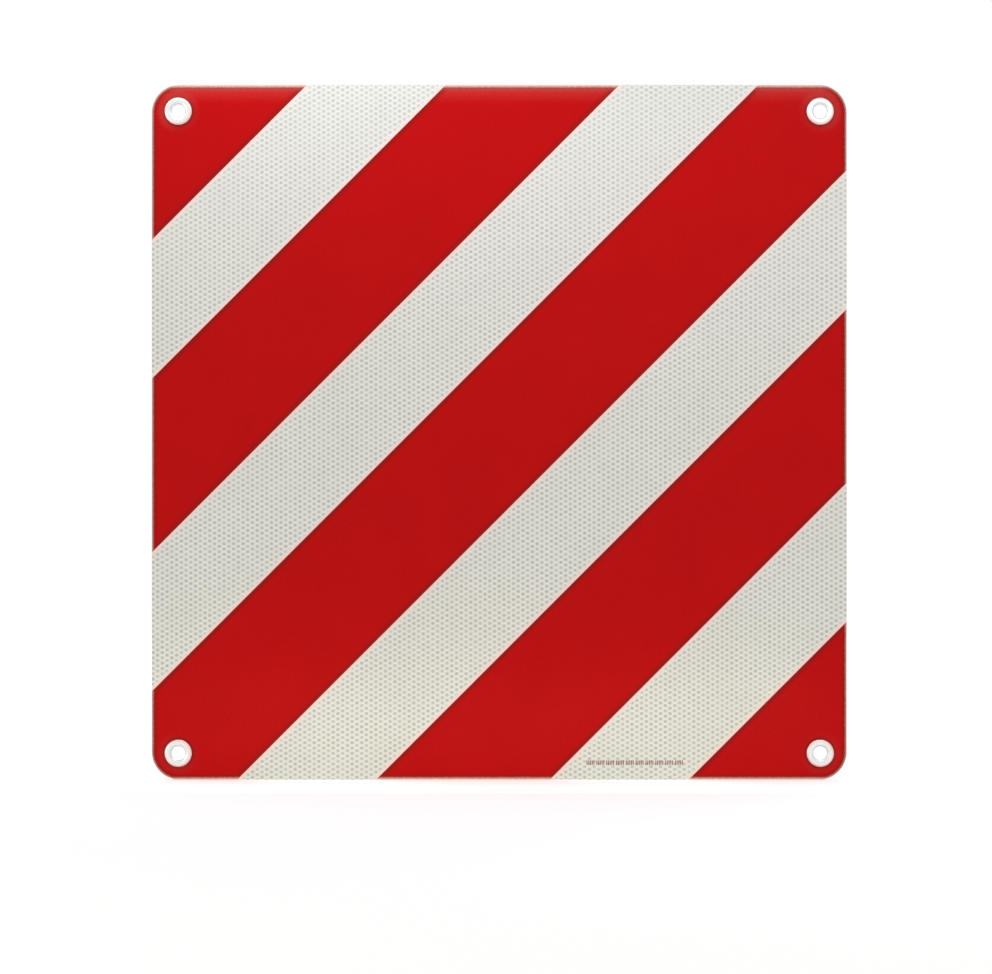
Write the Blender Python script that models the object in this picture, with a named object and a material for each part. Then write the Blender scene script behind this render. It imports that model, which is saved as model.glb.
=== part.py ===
"""Sign for an overhanging load: a square aluminium plate faced with diagonal strips of
red and white reflective film, with an eyelet set through each corner for the ties.

Sizes are in metres, +Z is up. The sign stands upright and faces -Y. The origin is the centre
of the plate's back face: the film lies in front of the plate, at negative Y, and the washers
and the rolled ends of the eyelets lie behind it, at positive Y.
"""

import math

import bmesh
import bpy
from mathutils import Matrix, Vector

# Plate
SIGN_WIDTH = 0.500
SIGN_HEIGHT = 0.500
CORNER_RADIUS = 0.020
PLATE_THICKNESS = 0.0010
BROKEN_EDGE = 0.00012

# Reflective film, laid on its glue in strips that butt against each other
FILM_THICKNESS = 0.0004
GLUE_THICKNESS = 0.0003
RED_STRIP_WIDTH = 0.0884
WHITE_STRIP_WIDTH = 0.0707
MIDDLE_STRIP_SHIFT = 0.00075
STRIPS_OUTWARD = ("white", "red", "white", "red")
STRIP_SLOPE = math.radians(45)
STRIP_JOINT = 0.0003

# Eyelets, pressed from thin sheet and rolled over at the back
EYELET_INSET = 0.019
EYELET_BORE = 0.0100
EYELET_WALL = 0.0005
THROAT_WIDTH = 0.0020
CREST_WIDTH = 0.0008
LIP_WIDTH = 0.0022
FLANGE_RISE = 0.0015
REAR_BEND_RADIUS = 0.0005
REAR_RIM_WIDTH = 0.0014

# Washers under the rolled ends
WASHER_WIDTH = 0.0037
WASHER_THICKNESS = 0.0005
WASHER_EDGE_RADIUS = 0.0002

# Clearances
SEAT_GAP = 0.0003
BARREL_CLEARANCE = 0.0003
PUNCH_OVERRUN = 0.0020

# Fineness of the round shapes
CORNER_STEPS = 12
TURN_STEPS = 32
LARGE_ARC_STEPS = 5
SMALL_ARC_STEPS = 3
SHARP_ANGLE = math.radians(35)

# Finishes: linear colour, roughness, metallic
RED_FILM = ((0.485, 0.0075, 0.0080), 0.30, 0.0)
WHITE_FILM = ((0.690, 0.685, 0.620), 0.35, 0.0)
MILL_ALUMINIUM = ((0.600, 0.605, 0.610), 0.40, 1.0)
BRIGHT_METAL = ((0.860, 0.860, 0.850), 0.22, 1.0)

# Levels, measured forward from the plate's back face
film_back = PLATE_THICKNESS + GLUE_THICKNESS
film_front = film_back + FILM_THICKNESS
flange_seat = film_front + SEAT_GAP
washer_front = -SEAT_GAP
washer_back = washer_front - WASHER_THICKNESS
rim_seat = washer_back - SEAT_GAP

# Radii of an eyelet and of what fits round it
bore_radius = EYELET_BORE / 2
barrel_radius = bore_radius + EYELET_WALL
hole_radius = barrel_radius + BARREL_CLEARANCE
washer_bore_radius = barrel_radius + REAR_BEND_RADIUS + BARREL_CLEARANCE


def clear_scene():
    for old in list(bpy.data.objects):
        bpy.data.objects.remove(old, do_unlink=True)


def make_material(name, finish):
    colour, roughness, metallic = finish
    material = bpy.data.materials.new(name)
    material.use_nodes = True
    shader = material.node_tree.nodes["Principled BSDF"]
    shader.inputs["Base Color"].default_value = (*colour, 1.0)
    shader.inputs["Roughness"].default_value = roughness
    shader.inputs["Metallic"].default_value = metallic
    material.diffuse_color = (*colour, 1.0)
    return material


def mesh_from(shape, name):
    """Turns the bmesh into a mesh whose faces all point out."""
    bmesh.ops.recalc_face_normals(shape, faces=shape.faces)
    mesh = bpy.data.meshes.new(name)
    shape.to_mesh(mesh)
    shape.free()
    return mesh


def add_object(name, mesh, parent=None):
    piece = bpy.data.objects.new(name, mesh)
    bpy.context.scene.collection.objects.link(piece)
    piece.parent = parent
    return piece


def corner_centres(inset):
    """The four corners by name, clockwise, each with its X and Z at this inset from both edges."""
    across = SIGN_WIDTH / 2 - inset
    up = SIGN_HEIGHT / 2 - inset
    return {
        "top_left": (-across, up),
        "top_right": (across, up),
        "bottom_right": (across, -up),
        "bottom_left": (-across, -up),
    }


def sign_outline():
    """The outline as (x, z) points: a rectangle with quarter-circle corners, clockwise."""
    points = []
    for turn, (x, z) in enumerate(corner_centres(CORNER_RADIUS).values()):
        for step in range(CORNER_STEPS + 1):
            angle = math.pi - (turn + step / CORNER_STEPS) * math.pi / 2
            points.append((x + CORNER_RADIUS * math.cos(angle), z + CORNER_RADIUS * math.sin(angle)))
    return points


def add_outline_face(shape, level):
    """Adds one flat face with the sign's outline at this level."""
    shape.faces.new([shape.verts.new((x, -level, z)) for x, z in sign_outline()])


def thicken(shape, thickness):
    """Extrudes the flat face forward into a slab."""
    extruded = bmesh.ops.extrude_face_region(shape, geom=list(shape.faces))["geom"]
    front = [item for item in extruded if isinstance(item, bmesh.types.BMVert)]
    bmesh.ops.translate(shape, verts=front, vec=(0, -thickness, 0))


def make_hole_punches():
    """The cutter: four round punches, one for each eyelet, that pass the plate and the film."""
    shape = bmesh.new()
    for x, z in corner_centres(EYELET_INSET).values():
        middle = Matrix.Translation((x, -film_front / 2, z))
        bmesh.ops.create_cone(
            shape,
            cap_ends=True,
            segments=TURN_STEPS,
            radius1=hole_radius,
            radius2=hole_radius,
            depth=film_front + 2 * PUNCH_OVERRUN,
            matrix=middle @ Matrix.Rotation(math.pi / 2, 4, "X"),
        )
    punches = add_object("eyelet_hole_punches", mesh_from(shape, "eyelet_hole_punches"))
    punches.hide_render = True
    punches.display_type = "WIRE"
    return punches


def punch_holes(piece, punches):
    holes = piece.modifiers.new("Eyelet holes", "BOOLEAN")
    holes.operation = "DIFFERENCE"
    holes.solver = "EXACT"
    holes.object = punches


def make_plate(material, punches, parent):
    shape = bmesh.new()
    add_outline_face(shape, 0)
    thicken(shape, PLATE_THICKNESS)
    mesh = mesh_from(shape, "backing_plate")
    mesh.materials.append(material)
    plate = add_object("backing_plate", mesh, parent)
    punch_holes(plate, punches)
    edges = plate.modifiers.new("Broken edges", "BEVEL")
    edges.width = BROKEN_EDGE
    edges.segments = 1
    edges.limit_method = "ANGLE"
    edges.angle_limit = SHARP_ANGLE


def strip_bands():
    """(name, colour, direction, near, far) of each strip, for a sign seen from the front.

    Near and far are the distances of its long sides from the sign's centre, along a direction
    square to the strips: 1 is down to the right and -1 up to the left. The middle strip is red,
    and all the strips are shifted a little up to the left. The last strip on each side fills its
    corner, so it has no far side.
    """
    widths = {"red": RED_STRIP_WIDTH, "white": WHITE_STRIP_WIDTH}
    first = {direction: RED_STRIP_WIDTH / 2 - direction * MIDDLE_STRIP_SHIFT for direction in (-1, 1)}
    bands = [("red_strip_middle", "red", 1, -first[-1], first[1])]
    for side, direction in (("upper", -1), ("lower", 1)):
        laid = {"red": 0, "white": 0}
        near = first[direction]
        for colour in STRIPS_OUTWARD:
            laid[colour] += 1
            far = near + widths[colour]
            bands.append((f"{colour}_strip_{side}_{laid[colour]}", colour, direction, near, far))
            near = far
        bands[-1] = (*bands[-1][:-1], None)
    return bands


def make_strip(name, direction, near, far, material, punches, parent):
    """One strip of film: the sign's outline, sliced on the strip's long sides."""
    across = Vector((math.sin(STRIP_SLOPE), 0, -math.cos(STRIP_SLOPE))) * direction
    slices = [(near + STRIP_JOINT / 2, -across)]
    if far is not None:
        slices.append((far - STRIP_JOINT / 2, across))
    shape = bmesh.new()
    add_outline_face(shape, film_back)
    for distance, outward in slices:
        bmesh.ops.bisect_plane(
            shape,
            geom=[*shape.verts, *shape.edges, *shape.faces],
            plane_co=across * distance,
            plane_no=outward,
            clear_outer=True,
        )
    thicken(shape, FILM_THICKNESS)
    mesh = mesh_from(shape, name)
    mesh.materials.append(material)
    punch_holes(add_object(name, mesh, parent), punches)


def make_film(materials, punches, parent):
    for name, colour, direction, near, far in strip_bands():
        make_strip(name, direction, near, far, materials[colour], punches, parent)


def arc(centre, radii, first, last, steps):
    """Points (radius, level) along part of an ellipse, with its angles in degrees from outward."""
    points = []
    for step in range(steps + 1):
        angle = math.radians(first + (last - first) * step / steps)
        points.append((centre[0] + radii[0] * math.cos(angle), centre[1] + radii[1] * math.sin(angle)))
    return points


def eyelet_section():
    """The eyelet's section as (radius, level) points.

    From the front: a lip that comes down on the film, a flat crest, a throat that turns into the
    bore, the barrel through the sign, and the end rolled out flat over the washer. The first
    half of the points follows the visible side of the sheet, and the second half the other side.
    """
    wall = EYELET_WALL
    bend = REAR_BEND_RADIUS
    throat = (bore_radius + THROAT_WIDTH, flange_seat)
    lip = (throat[0] + CREST_WIDTH, flange_seat)
    rear_bend = (barrel_radius + bend, rim_seat + bend)
    rim_end = (rear_bend[0] + REAR_RIM_WIDTH, rim_seat)
    return [
        *arc(lip, (LIP_WIDTH, FLANGE_RISE), 0, 90, LARGE_ARC_STEPS),
        *arc(throat, (THROAT_WIDTH, FLANGE_RISE), 90, 180, LARGE_ARC_STEPS),
        *arc(rear_bend, (bend + wall, bend + wall), 180, 270, SMALL_ARC_STEPS),
        *arc(rim_end, (wall, wall), 270, 360, SMALL_ARC_STEPS),
        *arc(rear_bend, (bend, bend), 270, 180, SMALL_ARC_STEPS),
        *arc(throat, (THROAT_WIDTH - wall, FLANGE_RISE - wall), 180, 90, SMALL_ARC_STEPS),
        *arc(lip, (LIP_WIDTH - wall, FLANGE_RISE - wall), 90, 0, SMALL_ARC_STEPS),
    ]


def washer_section():
    """The washer's section as (radius, level) points: a flat ring, rounded at its outer rear edge."""
    outer = washer_bore_radius + WASHER_WIDTH
    edge = min(WASHER_EDGE_RADIUS, WASHER_THICKNESS / 2)
    return [
        (washer_bore_radius, washer_front),
        (outer, washer_front),
        *arc((outer - edge, washer_back + edge), (edge, edge), 0, -90, SMALL_ARC_STEPS),
        (washer_bore_radius, washer_back),
    ]


def turned_mesh(name, section, material):
    """Turns a closed section about the Y axis."""
    shape = bmesh.new()
    corners = [shape.verts.new((radius, -level, 0)) for radius, level in section]
    edges = [shape.edges.new((corners[i - 1], corners[i])) for i in range(len(corners))]
    bmesh.ops.spin(
        shape,
        geom=corners + edges,
        cent=(0, 0, 0),
        axis=(0, 1, 0),
        angle=2 * math.pi,
        steps=TURN_STEPS,
        use_merge=True,
    )
    mesh = mesh_from(shape, name)
    mesh.materials.append(material)
    mesh.shade_smooth()
    mesh.set_sharp_from_angle(angle=SHARP_ANGLE)
    return mesh


def make_eyelets(material, parent):
    """An eyelet and its washer in each corner, all turned from the same two sections."""
    meshes = {
        "eyelet": turned_mesh("eyelet", eyelet_section(), material),
        "washer": turned_mesh("washer", washer_section(), material),
    }
    for corner, (x, z) in corner_centres(EYELET_INSET).items():
        for kind, mesh in meshes.items():
            piece = add_object(f"{kind}_{corner}", mesh, parent)
            piece.location = (x, 0, z)


def make_sign():
    clear_scene()
    sign = add_object("overhanging_load_sign", None)
    punches = make_hole_punches()
    make_plate(make_material("mill_aluminium", MILL_ALUMINIUM), punches, sign)
    film = {
        "red": make_material("red_film", RED_FILM),
        "white": make_material("white_film", WHITE_FILM),
    }
    make_film(film, punches, sign)
    make_eyelets(make_material("bright_metal", BRIGHT_METAL), sign)


make_sign()
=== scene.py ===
"""Looks of an overhanging load sign: a square aluminium plate that stands upright and faces -Y.

Strips of red and white reflective film cover its front, and an eyelet with a washer behind it is
rolled through each corner. Metres, +Z up. The origin is the centre of the plate's back face, so
a level of 1 mm forward of it is at Y = -0.001.
"""

import math

import bpy
import numpy as np
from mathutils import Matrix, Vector
from mathutils.geometry import delaunay_2d_cdt


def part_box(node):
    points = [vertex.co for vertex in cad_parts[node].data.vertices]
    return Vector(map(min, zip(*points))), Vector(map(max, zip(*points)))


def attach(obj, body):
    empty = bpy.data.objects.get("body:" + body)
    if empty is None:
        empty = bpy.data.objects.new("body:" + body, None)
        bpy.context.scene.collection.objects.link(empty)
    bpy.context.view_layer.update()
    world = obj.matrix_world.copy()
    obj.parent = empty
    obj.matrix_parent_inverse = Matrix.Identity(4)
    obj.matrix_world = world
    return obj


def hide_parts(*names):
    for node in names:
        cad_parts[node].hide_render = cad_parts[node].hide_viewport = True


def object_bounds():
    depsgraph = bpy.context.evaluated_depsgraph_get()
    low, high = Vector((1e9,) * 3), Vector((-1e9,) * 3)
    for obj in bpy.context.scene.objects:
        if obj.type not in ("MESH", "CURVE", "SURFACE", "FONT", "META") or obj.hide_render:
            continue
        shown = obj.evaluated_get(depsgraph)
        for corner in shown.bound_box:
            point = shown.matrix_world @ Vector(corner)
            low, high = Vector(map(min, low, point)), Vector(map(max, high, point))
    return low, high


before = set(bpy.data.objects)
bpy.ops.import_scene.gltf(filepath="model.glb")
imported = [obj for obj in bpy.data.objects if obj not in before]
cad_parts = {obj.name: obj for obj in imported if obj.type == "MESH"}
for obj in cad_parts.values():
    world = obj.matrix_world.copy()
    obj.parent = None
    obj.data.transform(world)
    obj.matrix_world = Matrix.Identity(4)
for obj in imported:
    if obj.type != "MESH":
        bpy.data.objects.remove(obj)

cad_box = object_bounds()

# Backing plate
# Half-hard aluminium sheet, 1 mm thick, cut to a square with round corners and punched for the
# eyelets. The rolls left it a fine upright grain, and the shears a greyer edge that is slightly
# rounded, more at the back than at the front.

plate_low, plate_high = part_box("backing_plate")
half_side = plate_high.x
plate_front = -plate_low.y
corner_radius = 0.020
corner_steps = 24
eyelet_low, eyelet_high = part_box("eyelet_top_right")
eyelet_offset = (eyelet_low.x + eyelet_high.x) / 2
barrel_radius = 0.0055
barrel_clearance = 0.0003
hole_radius = barrel_radius + barrel_clearance
hole_steps = 96
front_round = 0.00008
back_round = 0.00022
flat_margin = 0.00045
round_steps = 4
smooth_angle = math.radians(38)

aluminium_colour = (0.560, 0.565, 0.572, 1.0)
aluminium_bright = (0.680, 0.682, 0.685, 1.0)
aluminium_dull = (0.470, 0.475, 0.484, 1.0)
aluminium_sheared = (0.360, 0.365, 0.372, 1.0)

# A zone is the pair of distances between which a mark on the surface comes or goes.
sheared_zone = (0.0, 0.0009)
washer_shade_zone = (0.0098, 0.0125)
grain_depth = 0.000012


def rounded_square(half, radius, steps):
    """Points (x, z) of a square with round corners, anticlockwise from the front. Each corner is
    a quarter circle about a point moved in from the corner, its angle rising by equal steps."""
    corner = np.arange(4).repeat(steps + 1)
    angle = (corner + np.tile(np.linspace(0, 1, steps + 1), 4)) * np.pi / 2
    diagonal = corner * np.pi / 2 + np.pi / 4
    centre = (half - radius) * np.sign(np.stack([np.cos(diagonal), np.sin(diagonal)], axis=1))
    return centre + radius * np.stack([np.cos(angle), np.sin(angle)], axis=1)


def hole_loop(x, z, radius, steps):
    """A circle about (x, z), clockwise from the front, as the edge of a hole runs."""
    angle = -np.arange(steps) * 2 * np.pi / steps
    return np.array([x, z]) + radius * np.stack([np.cos(angle), np.sin(angle)], axis=1)


def mitres(loop):
    """The step at each point of a loop that moves both sides beside it out by one unit: the sum
    of their outward directions, over one plus the cosine of the angle between these."""
    side = np.roll(loop, -1, axis=0) - loop
    side = side / np.linalg.norm(side, axis=1, keepdims=True)
    outward = np.stack([side[:, 1], -side[:, 0]], axis=1)
    before = np.roll(outward, 1, axis=0)
    return (outward + before) / (1 + (outward * before).sum(axis=1, keepdims=True))


def filled(points, follow, loop_of, inner_edges=()):
    """Triangles over the points inside the loops, by Delaunay's rule. Follow gives the next point
    on each loop. A triangle with all its corners on the edge of one hole lies in the hole."""
    count = len(follow)
    edges = np.concatenate([np.stack([np.arange(count), follow], axis=1), *inner_edges])
    flat = [Vector(point) for point in points.tolist()]
    made = delaunay_2d_cdt(flat, edges.tolist(), [], 1, 1e-7)
    source = np.array([first[0] for first in made[3]])
    corners = source[np.array(made[2])]
    owner = np.full(len(points), -1)
    owner[:count] = loop_of
    own = owner[corners]
    corners = corners[~((own[:, 0] > 0) & (own == own[:, :1]).all(axis=1))]
    a, b, c = (points[corners[:, k]] for k in range(3))
    turned = (b[:, 0] - a[:, 0]) * (c[:, 1] - a[:, 1]) < (b[:, 1] - a[:, 1]) * (c[:, 0] - a[:, 0])
    corners[turned] = corners[turned][:, ::-1]
    return corners


def closed_sheet(loops, profile, inner=None, inner_edges=(), relief=None):
    """A flat sheet, as (points, triangles, quads). The profile's (inset, level) stations are
    carried round every loop, the first at the front and the last at the back, and the loops of
    these two are filled. Relief sinks the points at the front level by a function of (x, z)."""
    outline = np.concatenate(loops)
    count = len(outline)
    starts = np.cumsum([0] + [len(loop) for loop in loops])
    follow = np.arange(1, count + 1)
    follow[starts[1:] - 1] = starts[:-1]
    loop_of = np.repeat(np.arange(len(loops)), np.diff(starts))
    step = np.concatenate([mitres(loop) for loop in loops])
    rings = outline - profile[:, :1, None] * step
    inner = np.zeros((0, 2)) if inner is None else inner
    front_points = np.concatenate([rings[0], inner])
    front = filled(front_points, follow, loop_of, [edges + count for edges in inner_edges])
    back = filled(rings[-1], follow, loop_of)
    last = (len(profile) - 1) * count
    front = np.where(front < count, front, front + last)
    across = np.concatenate([rings.reshape(-1, 2), inner])
    level = np.concatenate([profile[:, 1].repeat(count), np.full(len(inner), profile[0, 1])])
    if relief is not None:
        level = level - (level == profile[0, 1]) * relief(across)
    ring = np.arange(len(profile) - 1)[:, None] * count
    here = ring + np.arange(count)
    ahead = ring + follow
    quads = np.stack([here, here + count, ahead + count, ahead], axis=-1).reshape(-1, 4)
    points = np.stack([across[:, 0], -level, across[:, 1]], axis=1)
    return points, np.concatenate([front, back[:, ::-1] + last]), quads


def rounded_edge(front_level, back_level, front_radius, back_radius, margin):
    """The (inset, level) stations over a sheet's edge: a flat margin, a quarter circle down from
    the front, the straight side, and a quarter circle round to the back with its own margin."""
    turn = np.linspace(0, 1, round_steps + 1)[:, None] * np.pi / 2
    quarter = np.concatenate([1 - np.sin(turn), 1 - np.cos(turn)], axis=1)
    front = np.array([0, front_level]) + quarter * front_radius * np.array([1, -1])
    back = np.array([0, back_level]) + quarter[::-1] * back_radius
    return np.concatenate([[[margin, front_level]], front, back, [[margin, back_level]]])


def add_piece(name, material, slot, node, *parts):
    """Puts the parts' points and faces into one mesh, shaded smooth except over sharp edges, and
    lets the piece ride on the sign in place of its solid."""
    points, faces, base = [], [], 0
    for part_points, *part_faces in parts:
        points.append(part_points)
        for group in part_faces:
            faces += (group + base).tolist()
        base += len(part_points)
    mesh = bpy.data.meshes.new(name)
    mesh.from_pydata(np.concatenate(points).tolist(), [], faces)
    mesh.materials.append(material)
    mesh.shade_smooth()
    mesh.set_sharp_from_angle(angle=smooth_angle)
    piece = bpy.data.objects.new(name, mesh)
    bpy.context.scene.collection.objects.link(piece)
    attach(piece, "root")
    if node:
        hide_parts(node)
    return piece


def put(tree, kind, inputs=None, **settings):
    """Adds a shader node. Each input is a value, or the output of another node to link."""
    made = tree.nodes.new("ShaderNode" + kind)
    for key, value in settings.items():
        setattr(made, key, value)
    for key, value in (inputs or {}).items():
        if isinstance(value, bpy.types.NodeSocket):
            tree.links.new(value, made.inputs[key])
        else:
            made.inputs[key].default_value = value
    return made.outputs


def sums(tree, operation, *values, clamp=False):
    """One Math node's result."""
    return put(tree, "Math", dict(enumerate(values)), operation=operation, use_clamp=clamp)[0]


def ramp(tree, value, low, high, to_low=0.0, to_high=1.0):
    """The value carried smoothly from low and high to the two results, and held beyond them."""
    inputs = {0: value, 1: low, 2: high, 3: to_low, 4: to_high}
    return put(tree, "MapRange", inputs, interpolation_type="SMOOTHSTEP")[0]


def noise(tree, where, scale, detail=2.0, roughness=0.5, stretch=(1, 1, 1)):
    """Noise from 0 to 1, about 0.5, drawn out along the axes that stretch makes small."""
    moved = put(tree, "VectorMath", {0: where, 1: stretch}, operation="MULTIPLY")[0]
    inputs = {"Vector": moved, "Scale": scale, "Detail": detail, "Roughness": roughness}
    return put(tree, "TexNoise", inputs)[0]


def blended(tree, share, first, second):
    """The first colour, taken towards the second by the share."""
    inputs = {0: share, 6: first, 7: second}
    return put(tree, "Mix", inputs, data_type="RGBA", clamp_factor=True)[2]


def new_group(name, inputs, outputs):
    """A shader node group with float inputs {name: default}, and outputs of the types given."""
    tree = bpy.data.node_groups.new(name, "ShaderNodeTree")
    for key, value in inputs.items():
        tree.interface.new_socket(key, in_out="INPUT", socket_type="NodeSocketFloat")
        tree.interface.items_tree[key].default_value = value
    for key, kind in outputs.items():
        tree.interface.new_socket(key, in_out="OUTPUT", socket_type="NodeSocket" + kind)
    return tree, tree.nodes.new("NodeGroupInput").outputs, tree.nodes.new("NodeGroupOutput").inputs


def use(tree, group, **values):
    """Places a node group, with its own values, and gives its outputs."""
    made = tree.nodes.new("ShaderNodeGroup")
    made.node_tree = group
    for key, value in values.items():
        made.inputs[key.capitalize()].default_value = value
    return made.outputs


def new_material(name, **constants):
    """A material, with its node tree, its Principled shader and its Object coordinates."""
    material = bpy.data.materials.new(name)
    material.use_nodes = True
    tree = material.node_tree
    shader = tree.nodes["Principled BSDF"]
    for key, value in constants.items():
        shader.inputs[key.replace("_", " ")].default_value = value
    return material, tree, shader, put(tree, "TexCoord")["Object"]


def feed(tree, shader, **links):
    """Links outputs to the shader's inputs."""
    for key, value in links.items():
        tree.links.new(value, shader.inputs[key.replace("_", " ")])


def relief_normal(tree, height, distance):
    """The normal of a surface whose height varies by the distance given."""
    return put(tree, "Bump", {"Height": height, "Distance": distance})[0]


def edge_distance_group():
    """How far a point of the sheet lies in from the outline: the corner radius, less the distance
    to the square on which the corners' centres stand."""
    tree, _, out = new_group("distance_from_edge", {}, {"Distance": "Float"})
    where = put(tree, "TexCoord")["Object"]
    size = put(tree, "VectorMath", {0: where}, operation="ABSOLUTE")[0]
    centre = half_side - corner_radius
    past = put(tree, "VectorMath", {0: size, 1: (centre, 0, centre)}, operation="SUBTRACT")[0]
    axes = put(tree, "SeparateXYZ", {0: past})
    over_x, over_z = (sums(tree, "MAXIMUM", axes[key], 0.0) for key in ("X", "Z"))
    squares = sums(tree, "ADD", sums(tree, "POWER", over_x, 2.0), sums(tree, "POWER", over_z, 2.0))
    inside = sums(tree, "MINIMUM", sums(tree, "MAXIMUM", axes["X"], axes["Z"]), 0.0)
    reach = sums(tree, "ADD", sums(tree, "SQRT", squares), inside)
    tree.links.new(sums(tree, "SUBTRACT", corner_radius, reach), out["Distance"])
    return tree


def eyelet_distance_group():
    """How far a point lies from the axis of the nearest eyelet: the four corners are folded onto
    one by taking the size of X and of Z."""
    tree, _, out = new_group("distance_from_eyelet", {}, {"Distance": "Float", "Place": "Vector"})
    where = put(tree, "TexCoord")["Object"]
    axes = put(tree, "SeparateXYZ", {0: put(tree, "VectorMath", {0: where}, operation="ABSOLUTE")[0]})
    depth = put(tree, "SeparateXYZ", {0: where})["Y"]
    local_x, local_z = (sums(tree, "SUBTRACT", axes[key], eyelet_offset) for key in ("X", "Z"))
    place = put(tree, "CombineXYZ", {0: local_x, 1: depth, 2: local_z})[0]
    flat = put(tree, "CombineXYZ", {0: local_x, 2: local_z})[0]
    tree.links.new(put(tree, "VectorMath", {0: flat}, operation="LENGTH")["Value"], out["Distance"])
    tree.links.new(place, out["Place"])
    return tree


def scuff_group():
    """Hairline scuffs: the thin zero line of a noise that is drawn out along one slanting
    direction, kept where a coarser noise is high. Angle turns them in the plane of the sheet."""
    inputs = {"Angle": 0.6, "Scale": 60.0, "Width": 0.02, "Share": 0.55}
    tree, given, out = new_group("hairline_scuffs", inputs, {"Scuffs": "Float"})
    where = put(tree, "TexCoord")["Object"]
    turn = put(tree, "CombineXYZ", {1: given["Angle"]})[0]
    turned = put(tree, "Mapping", {"Vector": where, "Rotation": turn, "Scale": (1.0, 1.0, 0.06)})[0]
    drawn = put(tree, "TexNoise", {"Vector": turned, "Scale": given["Scale"], "Detail": 1.0})[0]
    off_line = sums(tree, "ABSOLUTE", sums(tree, "SUBTRACT", drawn, 0.5))
    line = sums(tree, "SUBTRACT", 1.0, sums(tree, "DIVIDE", off_line, given["Width"]), clamp=True)
    patches = put(tree, "TexNoise", {"Vector": where, "Scale": 14.0, "Detail": 2.0})[0]
    kept = ramp(tree, patches, given["Share"], sums(tree, "ADD", given["Share"], 0.12))
    tree.links.new(sums(tree, "MULTIPLY", line, kept), out["Scuffs"])
    return tree


def rolled_grain_group():
    """Rolled grain: two noises drawn out along Z, one of fine hairs and one of broad streaks."""
    inputs = {"Fine": 3000.0, "Broad": 520.0}
    tree, given, out = new_group("rolled_grain", inputs, {"Hairs": "Float", "Streaks": "Float"})
    where = put(tree, "TexCoord")["Object"]
    drawn = put(tree, "VectorMath", {0: where, 1: (1.0, 1.0, 0.012)}, operation="MULTIPLY")[0]
    for key, name in (("Fine", "Hairs"), ("Broad", "Streaks")):
        hairs = put(tree, "TexNoise", {"Vector": drawn, "Scale": given[key], "Detail": 3.0})[0]
        tree.links.new(hairs, out[name])
    return tree


edge_distance = edge_distance_group()
eyelet_distance = eyelet_distance_group()
hairline_scuffs = scuff_group()
rolled_grain = rolled_grain_group()

mill_aluminium, tree, shader, where = new_material("mill_aluminium", Metallic=1.0)
grain = use(tree, rolled_grain)
scuffs = use(tree, hairline_scuffs, angle=0.9, scale=90.0, width=0.012, share=0.5)["Scuffs"]
smudges = noise(tree, where, 9.0, 4.0, 0.55)
blotches = noise(tree, where, 38.0, 3.0)
from_edge = use(tree, edge_distance)["Distance"]
sheared = ramp(tree, from_edge, *sheared_zone, 1.0, 0.0)
from_eyelet = use(tree, eyelet_distance)["Distance"]
# Painted shade: the back is darker round each washer, fading out from its edge.
washer_shade = ramp(tree, from_eyelet, *washer_shade_zone, 1.0, 0.0)
streaks = ramp(tree, grain["Streaks"], 0.30, 0.70, 0.2, 0.9)
colour = blended(tree, streaks, aluminium_dull, aluminium_colour)
colour = blended(tree, sums(tree, "MULTIPLY", grain["Hairs"], 0.35), colour, aluminium_bright)
colour = blended(tree, sums(tree, "MULTIPLY", scuffs, 0.45), colour, aluminium_bright)
colour = blended(tree, ramp(tree, blotches, 0.55, 0.8, 0.0, 0.18), colour, aluminium_dull)
colour = blended(tree, sums(tree, "MULTIPLY", washer_shade, 0.25), colour, aluminium_dull)
colour = blended(tree, sheared, colour, aluminium_sheared)
rough = ramp(tree, smudges, 0.3, 0.7, 0.34, 0.50)
rough = sums(tree, "ADD", rough, sums(tree, "MULTIPLY", grain["Hairs"], 0.08))
rough = sums(tree, "ADD", rough, sums(tree, "MULTIPLY", sheared, 0.06))
height = sums(tree, "ADD", grain["Hairs"], sums(tree, "MULTIPLY", grain["Streaks"], 1.5))
height = sums(tree, "SUBTRACT", height, sums(tree, "MULTIPLY", scuffs, 0.8))
feed(tree, shader, Base_Color=colour, Roughness=rough, Normal=relief_normal(tree, height, grain_depth))

sign_loop = rounded_square(half_side, corner_radius, corner_steps)
eyelet_centres = {
    "top_left": (-eyelet_offset, eyelet_offset),
    "top_right": (eyelet_offset, eyelet_offset),
    "bottom_right": (eyelet_offset, -eyelet_offset),
    "bottom_left": (-eyelet_offset, -eyelet_offset),
}
holes = {
    corner: hole_loop(x, z, hole_radius, hole_steps) for corner, (x, z) in eyelet_centres.items()
}
plate_edge = rounded_edge(plate_front, 0.0, front_round, back_round, flat_margin)
plate = closed_sheet([sign_loop, *holes.values()], plate_edge)
add_piece("aluminium_plate", mill_aluminium, "mill_aluminium", "backing_plate", plate)

# Adhesive
# The film's pressure-sensitive adhesive, a clear acrylic layer that fills the space between the
# plate and the film. It stops just short of the cut edges, where it shows as a fine dark line.

film_back = -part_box("red_strip_middle")[1].y
adhesive_setback = 0.00035
adhesive_bead = 0.00008
adhesive_turn = 0.0001
string_depth = 0.00004
adhesive_colour = (0.300, 0.285, 0.235, 1.0)
adhesive_grime = (0.080, 0.075, 0.065, 1.0)

adhesive, tree, shader, where = new_material("clear_adhesive")
dirty = ramp(tree, noise(tree, where, 160.0, 4.0), 0.42, 0.68)
strings = noise(tree, where, 900.0, 2.0, stretch=(1, 0.2, 1))
colour = blended(tree, sums(tree, "MULTIPLY", dirty, 0.6), adhesive_colour, adhesive_grime)
rough = ramp(tree, strings, 0.3, 0.7, 0.30, 0.60)
feed(tree, shader, Base_Color=colour, Roughness=rough,
     Normal=relief_normal(tree, strings, string_depth))

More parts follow.
